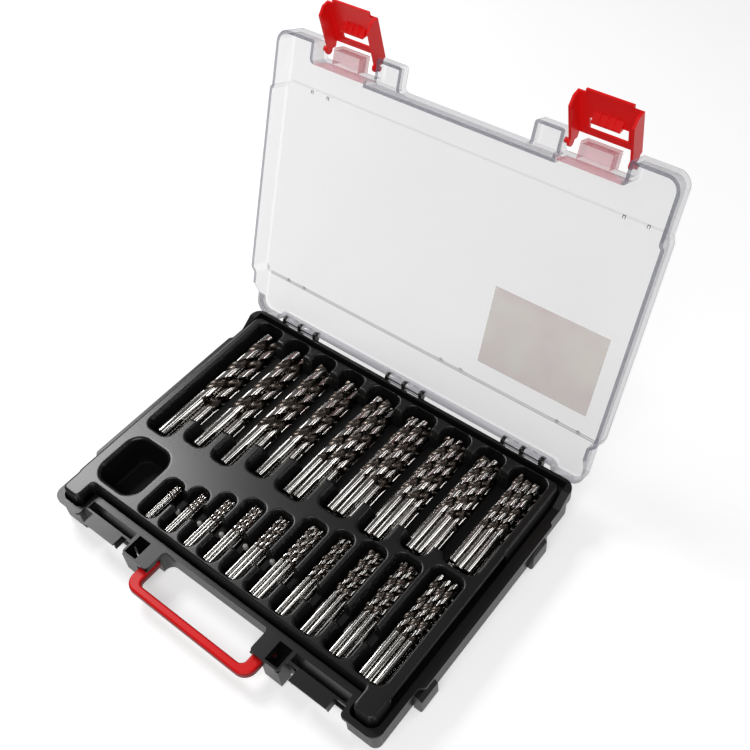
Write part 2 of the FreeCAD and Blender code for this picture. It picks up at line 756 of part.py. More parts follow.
def lid_levels(wall):
    """Heights and insets of the lid's outside, or of its inside with a wall."""
    low, top = S["base_rim"] + S["lid_seat"], S["lid_height"]
    edge, drop, draft = S["lid_edge"], S["lid_edge_drop"], S["lid_draft"]
    if not wall:
        return [(low, 0.0), (top - drop, draft), (top - drop / 3, draft + edge / 3), (top, edge)]
    inner = top - S["lid_plate"]
    return [(low - S["overrun"], wall), (inner - drop, wall + draft),
            (inner - drop / 3, wall + draft + edge / 4), (inner, wall + edge)]


def band_panel(low, high, cut_in):
    """The slightly raised middle of the lid plate."""
    half = S["lid_half_mid"] - S["lid_edge"] - cut_in
    slope = S["lid_band_edge"]
    y0, y1 = -S["lid_band_front"] - slope, S["lid_band_back"] + slope
    points = [(half, y1, slope), (half, y0, slope)]
    return prism(both_sides(points), low, high)


def hood_walls():
    """The lid's front wall goes on behind each hood."""
    wall, y = S["lid_wall"], -S["lid_recess_front"]
    def make(side):
        x0, x1 = span(side, S["lid_hood_in"] - wall, S["latch_gap_in"] + wall)
        return box(x0, x1, y, y + wall, S["base_rim"] + S["lid_seat"], S["lid_height"] - S["lid_plate"] / 2)
    return pair(make)


def hood_cuts():
    """Each hood's rim stands higher than the lid's."""
    over = S["overrun"]
    def make(side):
        x0, x1 = span(side, S["lid_hood_in"] - over, S["latch_gap_in"])
        return box(x0, x1, -S["lid_hood_front"] - over, -S["lid_recess_front"], S["base_rim"] - over,
                   S["lid_hood_rim"])
    return pair(make)


def lid_shell():
    outline = both_sides(lid_half())
    top, rise = S["lid_height"], S["lid_band_rise"]
    over = S["overrun"]
    wide = S["lid_half_mid"] + over
    body = stacked(outline, lid_levels(0.0))
    body = body.fuse(band_panel(top - rise, top + rise, 0.0))
    inner = top - S["lid_plate"]
    room = stacked(outline, lid_levels(S["lid_wall"]))
    room = room.fuse(band_panel(inner - rise, inner + rise, S["lid_wall"]))
    rim, high = S["base_rim"], S["base_rim"] + S["rear_rise"] + S["rear_rim_gap"]
    low = rim - over
    below = profile_x([(S["rear_ramp_front"], low), (S["rear_ramp_front"], rim + S["lid_seat"]),
                       (S["rear_ramp_back"], high), (S["lid_corner_back"] + over, high),
                       (S["lid_corner_back"] + over, low)], -wide, wide)
    cuts = [room, below]
    for x0, x1 in hinge_places():
        gap = S["hinge_side_gap"]
        cuts.append(rod_x(x0 - gap, x1 + gap, S["hinge_y"], S["hinge_z"], S["clip_radius"] + S["hinge_room"]))
    body = body.cut(cuts[0].multiFuse(cuts[1:]))
    body = body.fuse(clips() + brackets() + hood_walls())
    ends = latch_holes() + hood_cuts()
    return one(body.cut(ends[0].multiFuse(ends[1:])))


def clips():
    """Two open clips on each hinge, carried by straps from the back wall."""
    out = []
    y, z, r = S["hinge_y"], S["hinge_z"], S["clip_radius"]
    inner, gap = S["rod_radius"] + S["hinge_run"], S["hinge_side_gap"]
    mouth, wall = S["clip_mouth"], S["lid_wall"]
    strap_top = z + r + S["strap_high"]
    for x0, x1 in hinge_places():
        lugs = lug_ranges(x0, x1)
        for (a0, a1), (b0, b1) in zip(lugs, lugs[1:]):
            c0, c1 = a1 + gap, b0 - gap
            ring = rod_x(c0, c1, y, z, r)
            strap = box(c0, c1, S["lid_back"] - wall, S["lid_back"] + wall / 4, z + inner, strap_top)
            solid = ring.fuse(strap)
            bore = rod_x(c0 - gap, c1 + gap, y, z, inner)
            open_side = box(c0 - gap, c1 + gap, y - mouth / 2, y + mouth / 2, z - r - gap, z)
            middle, half = (c0 + c1) / 2, S["clip_window"] / 2
            low = z + inner + S["clip_window_high"] / 2
            high = low + S["clip_window_high"]
            window = box(middle - half, middle + half, y - r - wall, y + r + wall, low, high)
            out.append(solid.cut([bore, open_side, window]))
    return out


def brackets():
    """The boxed bracket in front of the lid wall between a latch's arms."""
    wall, back = S["bracket_wall"], lid_latch_wall() - S["lid_wall"] / 2
    top = S["lid_height"] - S["lid_edge_drop"]
    def make(side):
        x0, x1 = span(side, latch_in() + S["bracket_inset"], latch_out() - S["bracket_inset"])
        block = box(x0, x1, -S["bracket_front"], -back, S["bracket_low"], top)
        room = box(x0 + wall, x1 - wall, -S["bracket_front"] + wall, -lid_latch_wall(),
                   S["bracket_low"] - wall, top - wall)
        return block.cut(room)
    return pair(make)


def latch_holes():
    """Pivot holes for both studs of each latch."""
    reach = S["latch_stud_length"] + S["clearance"]
    def make(side):
        x0, x1 = span(side, latch_in() - reach, latch_out() + reach)
        return rod_x(x0, x1, -S["latch_pivot_y"], S["latch_pivot_z"], S["latch_stud"] + S["run_gap"])
    def keep(side):
        x0, x1 = span(side, latch_in() + S["latch_cheek"], latch_out() - S["latch_cheek"])
        return box(x0, x1, -S["base_front"], -S["recess_front"], S["base_rim"], S["lid_height"])
    return [make(1).cut(keep(1)), make(-1).cut(keep(-1))]


# Latches, drawn closed

def latch_in():
    return S["latch_gap_in"] + S["latch_side_gap"]


def latch_out():
    return S["latch_gap_out"] - S["latch_side_gap"]


def latch_solid(side):
    y, z = -S["latch_pivot_y"], S["latch_pivot_z"]
    x0, x1 = span(side, latch_in(), latch_out())
    plate_y, plate = y - S["latch_reach"], S["latch_plate"]
    low, neck = z - S["latch_length"], S["latch_neck"]
    cheek, tab = S["latch_cheek"], S["latch_tab_inset"]
    inner = -S["latch_seat_front"] - S["clearance"]
    slope = S["latch_reach"] / 2
    side_points = [(y, z), (y + neck / 4, z - neck), (inner, z - S["base_rim"] / 2 - neck / 4),
                   (inner, low + slope), (plate_y + slope, low), (plate_y - plate, low),
                   (plate_y - plate, z - slope), (plate_y + slope / 2, z + neck / 2)]
    solid = box(x0, x1, plate_y - plate, plate_y, low, z - S["latch_start"])
    solids = [box(x0 + tab, x1 - tab, plate_y - plate, plate_y, low - S["latch_tab"], low)]
    for a, b in ((x0, x0 + cheek), (x1 - cheek, x1)):
        solids.append(profile_x(side_points, a, b))
        solids.append(rod_x(a, b, y, z, neck))
    stud = S["latch_stud_length"]
    solids.append(rod_x(x0 - stud, x0, y, z, S["latch_stud"]))
    solids.append(rod_x(x1, x1 + stud, y, z, S["latch_stud"]))
    solid = solid.fuse(solids)
    w0, w1 = x0 + S["latch_window_inset"], x1 - S["latch_window_inset"]
    window = box(w0, w1, plate_y - plate - S["overrun"], plate_y + S["clearance"],
                 z - S["latch_window_high"], z - S["latch_window_low"])
    solid = solid.cut(window)
    lip_top = z - S["latch_window_high"]
    lip, thick, drop = S["latch_lip"], S["latch_lip_thick"], S["latch_lip_drop"]
    l0, l1 = w0 + S["latch_lip_inset"], w1 - S["latch_lip_inset"]
    tip, foot = lip_top - drop, lip_top - thick - lip
    adds = [profile_x([(plate_y, lip_top), (plate_y + lip, tip), (plate_y + lip, tip - thick),
                       (plate_y, foot)], l0, l1)]
    half = S["latch_rib"] / 2
    for share in (1 / 4, 1 / 2, 3 / 4):
        x = l0 + (l1 - l0) * share
        rib = [(plate_y, lip_top), (plate_y + lip, tip - thick), (plate_y + lip, tip - thick * 2),
               (plate_y, foot - S["latch_rib_length"])]
        adds.append(profile_x(rib, x - half, x + half))
    return one(solid.fuse(adds))


# Placing of the pieces that the open lid carries

def swing(y, z, degrees):
    """A turn about an axis along X through a point of the side view."""
    turn = FreeCAD.Rotation(V(1, 0, 0), degrees)
    centre = V(0, y, z)
    return FreeCAD.Placement(centre - turn.multVec(centre), turn)


LID_PLACE = swing(S["hinge_y"], S["hinge_z"], -S["lid_open_angle"])
LATCH_PLACE = LID_PLACE.multiply(swing(-S["latch_pivot_y"], S["latch_pivot_z"], -S["latch_open_angle"]))


def feature(label, shape, place=None):
    piece = doc.addObject("Part::Feature", label)
    piece.Label = label
    piece.Shape = shape
    if place is not None:
        piece.Placement = place
    return piece


def plane_of(body, role):
    return [f for f in body.Origin.OriginFeatures if f.Role == role][0]


def carry_handle():
    """A U-shaped handle: one pad with its opening, rounded, with a stud on each arm."""
    body = doc.addObject("PartDesign::Body", "carry_handle")
    body.Label = "carry_handle"
    sketch = body.newObject("Sketcher::SketchObject", "handle_plan")
    sketch.AttachmentSupport = [(plane_of(body, "XY_Plane"), "")]
    sketch.MapMode = "FlatFace"
    half, inner = S["handle_half"], S["handle_half"] - S["handle_arm"]
    front, bar = -S["handle_front"], S["handle_bar"]
    back = -S["handle_pivot_y"] + S["handle_tail"]
    corners = [V(-half, back, 0), V(-half, front, 0), V(half, front, 0), V(half, back, 0),
               V(inner, back, 0), V(inner, front + bar, 0), V(-inner, front + bar, 0), V(-inner, back, 0)]
    for i, point in enumerate(corners):
        sketch.addGeometry(Part.LineSegment(point, corners[(i + 1) % len(corners)]), False)
    for i in range(len(corners)):
        sketch.addConstraint(Sketcher.Constraint("Coincident", i, 2, (i + 1) % len(corners), 1))
    for i in (0, 2, 4, 6):
        sketch.addConstraint(Sketcher.Constraint("Vertical", i))
    for i in (1, 3, 5, 7):
        sketch.addConstraint(Sketcher.Constraint("Horizontal", i))
    named = [("DistanceX", -1, 1, 1, 2, half, "sizes.handle_half"),
             ("DistanceX", 1, 1, -1, 1, half, "sizes.handle_half"),
             ("DistanceX", 3, 2, 3, 1, S["handle_arm"], "sizes.handle_arm"),
             ("DistanceX", 7, 2, 7, 1, S["handle_arm"], "sizes.handle_arm"),
             ("DistanceY", 1, 1, -1, 1, -front, "sizes.handle_front"),
             ("DistanceY", 1, 1, 5, 1, bar, "sizes.handle_bar"),
             ("DistanceY", 3, 1, -1, 1, -back, "sizes.handle_pivot_y - sizes.handle_tail"),
             ("DistanceY", 7, 1, -1, 1, -back, "sizes.handle_pivot_y - sizes.handle_tail")]
    for kind, g1, p1, g2, p2, value, expression in named:
        index = sketch.addConstraint(Sketcher.Constraint(kind, g1, p1, g2, p2, value))
        sketch.setExpression("Constraints[%d]" % index, expression)
    pad = body.newObject("PartDesign::Pad", "handle_body")
    pad.Profile = sketch
    pad.Midplane = True
    pad.Length = S["handle_bar"]
    pad.setExpression("Length", "sizes.handle_bar")
    doc.recompute()
    round_corners(body, pad)
    return body


def round_corners(body, pad):
    """Round the two outer corners, then every long edge of the handle."""
    outer = []
    for i, edge in enumerate(pad.Shape.Edges, 1):
        a, b = edge.Vertexes[0].Point, edge.Vertexes[-1].Point
        upright = abs(a.x - b.x) < S["clearance"] and abs(a.y - b.y) < S["clearance"]
        if upright and abs(abs(a.x) - S["handle_half"]) < S["clearance"] and a.y < -S["handle_pivot_y"]:
            outer.append("Edge%d" % i)
    bend = body.newObject("PartDesign::Fillet", "handle_bends")
    bend.Base = (pad, outer)
    bend.Radius = S["handle_corner"]
    bend.setExpression("Radius", "sizes.handle_corner")
    doc.recompute()
    rims = []
    for i, edge in enumerate(bend.Shape.Edges, 1):
        low, high = edge.BoundBox.ZMin, edge.BoundBox.ZMax
        if high - low < S["clearance"] and edge.Length > S["handle_corner"]:
            rims.append("Edge%d" % i)
    soft = body.newObject("PartDesign::Fillet", "handle_soft_edges")
    soft.Base = (bend, rims)
    soft.Radius = S["handle_edge"]
    soft.setExpression("Radius", "sizes.handle_edge")
    body.Tip = soft
    doc.recompute()


def handle_with_studs():
    """The handle and its two studs as one solid."""
    body = carry_handle()
    studs = []
    for side in (1, -1):
        stud = doc.addObject("Part::Cylinder", "handle_stud")
        stud.setExpression("Radius", "sizes.stud_radius")
        stud.setExpression("Height", "sizes.handle_arm / 2 + sizes.lug_web + 4 * sizes.clearance")
        x = "sizes.handle_half - sizes.handle_arm / 2"
        stud.setExpression("Placement.Base.x", x if side > 0 else "-(%s)" % x)
        stud.setExpression("Placement.Base.y", "-sizes.handle_pivot_y")
        stud.Placement.Rotation = FreeCAD.Rotation(V(0, 1, 0), 90 * side)
        studs.append(stud)
    whole = doc.addObject("Part::MultiFuse", "handle_whole")
    whole.Shapes = [body] + studs
    whole.setExpression("Placement.Base.z", "sizes.handle_pivot_z")
    doc.recompute()
    body.Label = "handle_blank"
    whole.Label = "carry_handle"
    return whole


def lid_label():
    """A thin rectangle on the outside of the lid plate."""
    sheet_piece = doc.addObject("Part::Box", "lid_label")
    sheet_piece.Label = "lid_label"
    sheet_piece.setExpression("Length", "sizes.label_length")
    sheet_piece.setExpression("Width", "sizes.label_width")
    sheet_piece.setExpression("Height", "sizes.label_thick")
    place = FreeCAD.Placement(V(S["label_left"], S["label_near"], S["lid_height"] + S["lid_band_rise"]),
                              FreeCAD.Rotation())
    sheet_piece.Placement = LID_PLACE.multiply(place)
    return sheet_piece


PIECES = [
    feature("base_shell", base_shell()),
    feature("bit_tray", bit_tray()),
    feature("clear_lid", lid_shell(), LID_PLACE),
    feature("latch_right", latch_solid(1), LATCH_PLACE),
    feature("latch_left", latch_solid(-1), LATCH_PLACE),
    handle_with_studs(),
    lid_label(),
]
for size in BACK_ROW + FRONT_ROW:
    PIECES.append(feature("drill_bits_%s_mm" % size, bit_group(size)))

doc.recompute()
for item in doc.Objects:
    if "Invalid" in item.State or "Error" in item.State:
        raise RuntimeError("%s did not build: %s" % (item.Label, item.State))
for piece in PIECES:
    shape = piece.Shape
    if shape.isNull() or not shape.isValid() or not shape.Solids:
        raise RuntimeError("%s has no valid solid" % piece.Label)
    print(piece.Label, len(shape.Solids), round(shape.Volume), [round(n, 1) for n in
          (shape.BoundBox.XMin, shape.BoundBox.XMax, shape.BoundBox.YMin, shape.BoundBox.YMax,
           shape.BoundBox.ZMin, shape.BoundBox.ZMax)])
for piece in PIECES:
    piece.Shape.exportStep("parts/%s.step" % piece.Label)
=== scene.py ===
import bmesh, bpy, math, random
import numpy as np
from mathutils import Matrix, Vector


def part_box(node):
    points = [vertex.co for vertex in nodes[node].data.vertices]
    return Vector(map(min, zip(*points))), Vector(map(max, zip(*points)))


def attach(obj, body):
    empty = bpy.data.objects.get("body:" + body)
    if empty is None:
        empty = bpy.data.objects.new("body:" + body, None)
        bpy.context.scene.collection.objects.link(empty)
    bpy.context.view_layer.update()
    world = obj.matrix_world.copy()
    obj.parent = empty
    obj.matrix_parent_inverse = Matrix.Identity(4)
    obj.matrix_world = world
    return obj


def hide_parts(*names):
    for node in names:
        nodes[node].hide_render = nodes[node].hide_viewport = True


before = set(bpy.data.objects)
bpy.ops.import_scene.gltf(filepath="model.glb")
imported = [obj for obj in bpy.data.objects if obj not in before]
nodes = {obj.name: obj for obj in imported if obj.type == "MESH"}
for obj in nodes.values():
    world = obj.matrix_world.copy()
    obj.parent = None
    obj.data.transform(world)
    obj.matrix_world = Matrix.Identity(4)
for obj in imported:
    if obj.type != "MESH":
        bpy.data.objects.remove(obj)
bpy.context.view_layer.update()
MM = 0.001
dice = random.Random(11)


# Finishes: shader maths on sockets

class Line:
    """A value that runs through a finish's nodes and can be reckoned with."""

    def __init__(self, finish, socket):
        self.finish, self.socket = finish, socket

    def reckon(self, operation, *values, clamp=False):
        settings = {"operation": operation, "use_clamp": clamp}
        return self.finish.node("Math", settings, dict(enumerate(values)))

    def __add__(self, other): return self.reckon("ADD", self, other)
    def __radd__(self, other): return self.reckon("ADD", other, self)
    def __sub__(self, other): return self.reckon("SUBTRACT", self, other)
    def __rsub__(self, other): return self.reckon("SUBTRACT", other, self)
    def __mul__(self, other): return self.reckon("MULTIPLY", self, other)
    def __rmul__(self, other): return self.reckon("MULTIPLY", other, self)
    def __pow__(self, other): return self.reckon("POWER", self, other)
    def kept(self): return self.reckon("ADD", self, 0.0, clamp=True)


class Finish:
    """One material, made of one shader and the nodes that feed it."""

    def __init__(self, name, **sockets):
        self.material = bpy.data.materials.new(name)
        self.material.use_nodes = True
        self.tree = self.material.node_tree
        self.tree.nodes.clear()
        self.shader = self.tree.nodes.new("ShaderNodeBsdfPrincipled")
        end = self.tree.nodes.new("ShaderNodeOutputMaterial")
        self.tree.links.new(self.shader.outputs[0], end.inputs["Surface"])
        self.set(**sockets)

    def set(self, **sockets):
        """Socket names in lower case with underscores, such as base_color."""
        names = {s.name.lower().replace(" ", "_"): s for s in self.shader.inputs}
        for name, value in sockets.items():
            self.feed(names[name], value)
        return self

    def feed(self, socket, value):
        if isinstance(value, Line):
            self.tree.links.new(value.socket, socket)
        elif hasattr(value, "__len__") and len(value) == 3 and socket.type == "RGBA":
            socket.default_value = (*value, 1.0)
        else:
            socket.default_value = value

    def node(self, kind, settings=None, sockets=None, out=0):
        made = self.tree.nodes.new("ShaderNode" + kind)
        for name, value in (settings or {}).items():
            setattr(made, name, value)
        for name, value in (sockets or {}).items():
            self.feed(made.inputs[name], value)
        return Line(self, made.outputs[out])

    def place(self):
        return self.node("TexCoord", out="Object")

    def scaled(self, x, y, z):
        return self.node("Mapping", {}, {"Vector": self.place(), "Scale": (x, y, z)})

    def noise(self, scale, detail=2.0, rough=0.5, at=None):
        sockets = {"Vector": at if at is not None else self.place(), "Scale": scale}
        return self.node("TexNoise", {}, {**sockets, "Detail": detail, "Roughness": rough})

    def blend(self, factor, first, second):
        sockets = {0: factor, 6: (*first, 1.0) if hasattr(first, "__len__") else first,
                   7: (*second, 1.0) if hasattr(second, "__len__") else second}
        return self.node("Mix", {"data_type": "RGBA"}, sockets, out=2)

    def bump(self, height, strength, distance):
        return self.node("Bump", {}, {"Height": height, "Strength": strength, "Distance": distance})


# How deep the moulds' grain and the steel's grinding marks are, in metres
GRAIN_DEPTH, STREAK_DEPTH = 0.0002, 0.0001


def moulded(name, dark, light, rough, grain=0.12, sheen=0.5):
    """Moulded plastic: a slow change of tone, a fine spark-eroded grain and duller patches."""
    f = Finish(name, specular_ior_level=sheen)
    cloud = f.noise(9.0, detail=3.0)
    speck = f.noise(900.0)
    f.set(base_color=f.blend((cloud * 0.7 + speck * 0.3).kept(), dark, light),
          roughness=(rough + (cloud - 0.5) * 0.16).kept(),
          normal=f.bump(speck, grain, GRAIN_DEPTH))
    return f


def red_plastic(name, deep, bright, sheen=0.28, shade=0.0):
    """Red moulding with a random change of tone and a painted shade: the sides are painted darker than a
    lighter top, as strongly as shade says.
    """
    f = Finish(name, specular_ior_level=sheen)
    flow = f.noise(14.0, detail=3.0)
    speck = f.noise(700.0)
    # Painted light: the more a face looks up, the lighter it is painted, so the sides carry painted shade
    facing = f.node("NewGeometry", out="Normal")
    painted_top_light = f.node("SeparateXYZ", {}, {"Vector": facing}, out=2).kept()
    tone = flow * (1 - shade) + painted_top_light * shade
    f.set(base_color=f.blend(tone.kept(), deep, bright), roughness=(0.3 + flow * 0.12).kept(),
          normal=f.bump(speck, 0.08, GRAIN_DEPTH))
    return f


def ground_steel(name, colour, dark, rough, streaks):
    """Steel with fine streaks, along the shank or along the flute."""
    f = Finish(name, metallic=1.0)
    lines = f.noise(60.0, detail=1.0, at=f.scaled(*streaks))
    spots = f.noise(120.0)
    f.set(base_color=f.blend((lines * 0.93 + spots * 0.07).kept(), dark, colour),
          roughness=(rough + (lines - 0.5) * 0.06).kept(),
          normal=f.bump(lines, 0.015, STREAK_DEPTH))
    return f


def clear_plastic(name, colour, edge_colour, alpha, edge_alpha):
    """Clear moulding: nearly unseen face on, greyer where it is looked at edge on."""
    f = Finish(name, specular_ior_level=0.5, ior=1.49)
    edge = f.node("LayerWeight", {}, {"Blend": 0.35}, out="Facing")
    cloud = f.noise(7.0)
    f.set(base_color=f.blend(edge, colour, edge_colour),
          roughness=(0.1 + cloud * 0.05).kept(),
          alpha=(alpha + edge ** 2.5 * edge_alpha + cloud * 0.02).kept())
    return f


def label_film():
    """Thin printed film seen from behind: a pinkish ground with paler and yellower clouds."""
    f = Finish("label_film", roughness=0.45)
    paper, ink = f.noise(26.0, detail=3.0), f.noise(60.0, detail=1.0)
    ground = f.blend((paper * 3.0 - 1.0).kept(), (0.86, 0.56, 0.54), (0.98, 0.90, 0.66))
    f.set(base_color=f.blend((ink * 0.5).kept(), ground, (0.90, 0.82, 0.80)), alpha=0.37)
    return f


BLACK = moulded("black_base_plastic", (0.0045, 0.0043, 0.0043), (0.011, 0.0105, 0.010),
                rough=0.34, sheen=0.4)
CHARCOAL = moulded("black_tray_plastic", (0.0035, 0.0034, 0.0034), (0.008, 0.0078, 0.0078),
                   rough=0.30, grain=0.08)
# Painted shade: the tray plastic made darker and duller for faces deep in the pockets and saddles
POCKET_SHADE = moulded("matt_pocket_plastic", (0.0022, 0.0022, 0.0022), (0.0045, 0.0043, 0.0043),
               rough=0.62, grain=0.08, sheen=0.22)
# Pale grey for the painted highlight domes on the front dividers' saddles
SADDLE_GLINT = moulded("pale_button_plastic", (0.22, 0.21, 0.20), (0.34, 0.33, 0.32), rough=0.4)
RED = red_plastic("red_latch_plastic", (0.86, 0.006, 0.008), (0.97, 0.014, 0.013))
# The handle's deep colour is painted shade for its sides, and its bright colour is painted light on its
# top
HANDLE_RED = red_plastic("red_handle_plastic", (0.20, 0.003, 0.004), (0.90, 0.010, 0.012),
                         sheen=0.22, shade=0.85)
SHANK = ground_steel("ground_shank_steel", (0.76, 0.745, 0.725), (0.28, 0.265, 0.25),
                     rough=0.11, streaks=(14, 0.1, 14))
LAND = ground_steel("ground_land_steel", (0.84, 0.82, 0.79), (0.54, 0.51, 0.48),
                    rough=0.13, streaks=(6, 1, 6))
FLUTE = ground_steel("dark_flute_steel", (0.22, 0.19, 0.168), (0.075, 0.06, 0.05),
                     rough=0.26, streaks=(3, 1, 3))
PLATE = clear_plastic("clear_plate_plastic", (0.47, 0.47, 0.505), (0.36, 0.35, 0.40),
                      alpha=0.14, edge_alpha=0.24)
WALL = clear_plastic("clear_wall_plastic", (0.60, 0.59, 0.66), (0.24, 0.23, 0.32),
                     alpha=0.09, edge_alpha=0.9)
THICK = clear_plastic("thick_clear_plastic", (0.66, 0.65, 0.69), (0.5, 0.49, 0.54),
                      alpha=0.66, edge_alpha=0.34)
RIM = clear_plastic("clear_rim_plastic", (0.15, 0.15, 0.22), (0.10, 0.10, 0.16),
                    alpha=0.6, edge_alpha=0.3)
STEP_LINE = clear_plastic("panel_step_plastic", (0.035, 0.035, 0.045), (0.03, 0.03, 0.04),
                          alpha=0.94, edge_alpha=0.05)
# Painted reflection: a pink tint on the clear latch brackets, standing in for the red latches seen
# through them
BRACKET_RED_REFLECTION = clear_plastic("latch_bracket_plastic", (0.84, 0.24, 0.31), (0.74, 0.28, 0.34),
                      alpha=0.36, edge_alpha=0.3)
LABEL = label_film()


# CAD pieces, dressed as they are

# Seams narrower than this, in mm, are closed before edges sharper than this, in degrees, are rounded
SEAM_GAP = 0.01
EDGE_ANGLE = 32


def dress(node, finish, bevel=0.0):
    """Give a CAD node its finish, with edges softened the way a mould leaves them; sizes in mm."""
    obj = nodes[node]
    obj.data.materials.clear()
    obj.data.materials.append(finish.material)
    if bevel:
        weld = obj.modifiers.new("closed_seams", "WELD")
        weld.merge_threshold = SEAM_GAP * MM
        soft = obj.modifiers.new("soft_edges", "BEVEL")
        soft.width, soft.segments, soft.limit_method = bevel * MM, 2, "ANGLE"
        soft.angle_limit, soft.use_clamp_overlap = math.radians(EDGE_ANGLE), True
        soft.harden_normals = True
    return obj


# The open lid's own directions: away from the hinge, and out through its plate
HINGE = Vector((0, 0.123, 0.03515))
LEAN = math.radians(20.5)
AWAY = Vector((0, math.sin(LEAN), math.cos(LEAN)))
OUT = Vector((0, math.cos(LEAN), -math.sin(LEAN)))

# Parts of the lid, in mm: away from the hinge, out through the plate, and across from the middle
STRAP_REACH, STRAP_OUT = 11, 6
BRACKET_AWAY, BRACKET_ACROSS = 219, (88, 121)
RIM_AWAY, RIM_OUT = 20, 2
NEAR_LINE_AWAY, NEAR_LINE_ACROSS = (20, 60), 120
# A face this square to the plate, as a cosine, counts as part of it
SQUARE_ON = 0.9
LID_FINISHES = [PLATE, WALL, THICK, RIM, STEP_LINE, BRACKET_RED_REFLECTION]


def lid_finish(away, out, across, facing):
    """The finish of one face of the lid, by its place and by how squarely it faces out."""
    if abs(away) < STRAP_REACH and out < STRAP_OUT:
        return THICK
    # Latch brackets are tinted pink, a painted reflection of the red latch
    if away > BRACKET_AWAY and BRACKET_ACROSS[0] < across < BRACKET_ACROSS[1]:
        return BRACKET_RED_REFLECTION
    if facing < -SQUARE_ON and out < RIM_OUT and away > RIM_AWAY:
        return RIM
    if abs(facing) >= SQUARE_ON:
        return PLATE
    on_line = NEAR_LINE_AWAY[0] < away < NEAR_LINE_AWAY[1] and across < NEAR_LINE_ACROSS
    return STEP_LINE if on_line else WALL


def dress_lid():
    """The lid's plate, walls, thick hinge straps, latch brackets with a painted red reflection of the
    latches, rim and edges, each with its tone.
    """
    lid = dress("clear_lid", PLATE, bevel=0.4)
    for finish in LID_FINISHES[1:]:
        lid.data.materials.append(finish.material)
    for face in lid.data.polygons:
        from_hinge = face.center - HINGE
        away, out = from_hinge.dot(AWAY) / MM, from_hinge.dot(OUT) / MM
        finish = lid_finish(away, out, abs(face.center.x) / MM, face.normal.dot(OUT))
        face.material_index = LID_FINISHES.index(finish)
    lid.modifiers["soft_edges"].material = LID_FINISHES.index(RIM)


def mesh_piece(name, points, faces, body, finishes, face_finish=None, sharp=35.0):
    """A new piece on a body, from points in metres, with smooth faces parted at edges over sharp."""
    mesh = bpy.data.meshes.new(name)
    mesh.from_pydata([tuple(p) for p in points], [], [tuple(f) for f in faces])
    for finish in finishes:
        mesh.materials.append(finish.material)
    mesh.polygons.foreach_set("use_smooth", [True] * len(mesh.polygons))
    if face_finish is not None:
        mesh.polygons.foreach_set("material_index", list(face_finish))
    mesh.validate()
    mesh.update()
    mesh.set_sharp_from_angle(angle=math.radians(sharp))
    obj = bpy.data.objects.new(name, mesh)
    bpy.context.scene.collection.objects.link(obj)
    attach(obj, body)
    return obj


# Tray, from a height over the plan, all in mm

# Width of each pocket and length of each bit, from the left
BACK_POCKETS = [(26.5, 133), (23, 125), (22, 125), (23, 117), (29, 117), (29, 109), (25.5, 109),
                (24, 101), (30, 93)]
FRONT_POCKETS = [(18, 34), (17, 40), (15.5, 49), (18.5, 57), (19.5, 61), (21, 70), (17.5, 75),
                 (21.5, 80), (22.5, 86), (27, 93)]
TRAY_TOP, TRAY_LOW, POCKET_FLOOR = 36.0, 2.8, 8.0
# Each row's left end, the line its pockets start from, its dividers, spare length, corners and lips
BACK_ROW_LEFT, BACK_ROW_END, BACK_DIVIDER = -146.4, 110.5, 7.6
BACK_SPARE, BACK_CORNER, BACK_LIP = 8.5, 8.0, 1.7
FRONT_ROW_LEFT, FRONT_ROW_END, FRONT_DIVIDER = -91.0, -91.7, 4.2
FRONT_SPARE, FRONT_CORNER, FRONT_LIP = 3.6, 7.0, 1.4
POCKET_WALL = 1.4
# The spare pocket: left, right, front, back and corner, then its lip and wall
SPARE = (-142.5, -101.0, -88.0, -41.5, 12.0)
SPARE_LIP, SPARE_WALL = 3.4, 1.8
# Saddles dipped into a row's dividers: front, back and corner, then floor, lip and wall
BACK_SADDLE = (15.0, 98.0, 4.0), (18.0, 2.6, 2.0)
SLANTED_SADDLE = (15.0, 70.0, 4.0), (18.0, 2.6, 2.0)
FRONT_SADDLE = (-72.0, -59.0, 3.0), (26.0, 2.0, 1.6)
# The back row's second saddle slants forward from here to the left
SLANT_FROM, SLANT = -20.0, 0.2
# Outline: half width, front, back and corner of the main part, then of the two tips that reach forward
TRAY_HALF, TRAY_FRONT, TRAY_BACK, TRAY_CORNER = 154.0, -95.7, 112.5, 6.0
TIP_FROM, TIP_FRONT, TIP_BACK, TIP_CORNER = 135.2, -112.5, 40.0, 5.0
TIP_FILLET = 5.0
RIM_ROUND, SKIRT_WIDTH, SKIRT_DROP = 2.6, 0.5, 28.0
GRID_STEP = 0.8
# Faces this far under the top get a darker, duller copy of the tray plastic: painted shade in the pockets
# and saddles
PAINTED_SHADE_BELOW = 4.5


def pocket_plans():
    """Each pocket's x range and y range, its corner radius and its lip."""
    plans = []
    x = BACK_ROW_LEFT
    for width, length in BACK_POCKETS:
        front = BACK_ROW_END - length - BACK_SPARE
        plans.append((x, x + width, front, BACK_ROW_END, BACK_CORNER, BACK_LIP))
        x += width + BACK_DIVIDER
    x = FRONT_ROW_LEFT
    for width, length in FRONT_POCKETS:
        back = FRONT_ROW_END + length + FRONT_SPARE
        plans.append((x, x + width, FRONT_ROW_END, back, FRONT_CORNER, FRONT_LIP))
        x += width + FRONT_DIVIDER
    return plans


def inside(x, y, x0, x1, y0, y1, corner):
    """How far a point lies inside a rounded rectangle, in mm; less than zero outside."""
    qx = np.abs(x - (x0 + x1) / 2) - (x1 - x0) / 2 + corner
    qy = np.abs(y - (y0 + y1) / 2) - (y1 - y0) / 2 + corner
    reach = np.hypot(np.maximum(qx, 0), np.maximum(qy, 0)) + np.minimum(np.maximum(qx, qy), 0)
    return corner - reach


def sunk(depth_in, floor, lip, wall):
    """Height of a hollow by how far a point lies inside it: rounded lip, wall and floor."""
    t = np.clip((depth_in + lip * 0.85) / lip, 0, 1)
    edge = TRAY_TOP - lip * (1 - np.sqrt(np.clip(1 - t * t, 0, 1)))
    start = lip * 0.15
    down = np.clip((depth_in - start) / wall, 0, 1)
    low = TRAY_TOP - lip
    return np.where(depth_in < start, edge, low + (floor - low) * down ** 0.9)


